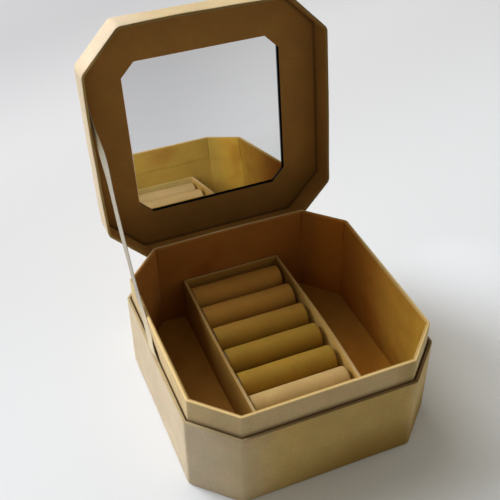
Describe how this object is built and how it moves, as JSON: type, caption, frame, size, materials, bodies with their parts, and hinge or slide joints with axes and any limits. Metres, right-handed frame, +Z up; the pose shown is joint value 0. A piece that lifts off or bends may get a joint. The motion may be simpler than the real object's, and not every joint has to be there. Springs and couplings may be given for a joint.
{
  "type": "ring box",
  "caption": "Octagonal card ring box with a hinged lid that holds a mirror, a ribbon stay, a low tray of ring rolls and open compartments beside it.",
  "frame": {"origin": "On the table, under the middle of the box.", "axes": "X to the right, Y to the back where the lid is hinged, Z up."},
  "size_m": [0.13, 0.1681, 0.1763],
  "materials": {
    "kraft_board": "matt kraft-covered board",
    "grey_board": "bare greyboard",
    "kraft_paper": "matt kraft paper",
    "roll_wadding": "soft wadding",
    "satin_ribbon": "satin",
    "mirror": "silvered glass"
  },
  "bodies": {
    "base": {"outer_wall": "kraft_board", "liner_collar": "kraft_board", "tray_left_wall": "kraft_board", "tray_right_wall": "kraft_board", "tray_front_wall": "kraft_board", "tray_back_wall": "kraft_board", "roll_deck": "kraft_board", "base_board": "grey_board", "inner_floor": "grey_board", "tray_floor": "grey_board", "base_paper": "kraft_paper", "floor_lining": "kraft_paper", "liner_turn_in": "kraft_paper", "hinge_base_leaf": "kraft_paper", "hinge_crease": "kraft_paper", "roll_sleeve_1": "kraft_paper", "roll_sleeve_2": "kraft_paper", "roll_sleeve_3": "kraft_paper", "roll_sleeve_4": "kraft_paper", "roll_sleeve_5": "kraft_paper", "roll_sleeve_6": "kraft_paper", "roll_sleeve_7": "kraft_paper", "roll_core_1": "roll_wadding", "roll_core_2": "roll_wadding", "roll_core_3": "roll_wadding", "roll_core_4": "roll_wadding", "roll_core_5": "roll_wadding", "roll_core_6": "roll_wadding", "roll_core_7": "roll_wadding", "ribbon_base_tab": "satin_ribbon", "ribbon_stay": "satin_ribbon"},
    "lid": {"lid_top_board": "kraft_board", "lid_rim": "kraft_board", "mirror_frame_board": "kraft_board", "mirror_spacer": "grey_board", "mirror_glass": "mirror", "hinge_lid_leaf": "kraft_paper", "ribbon_lid_tab": "satin_ribbon"}
  },
  "joints": [
    {"name": "lid_hinge", "type": "hinge", "parent": "base", "child": "lid", "pos_m": [0, 0.0667, 0.04595], "axis": [1, 0, 0], "range_deg": [0, 98], "deforming": ["ribbon_stay"]}
  ]
}
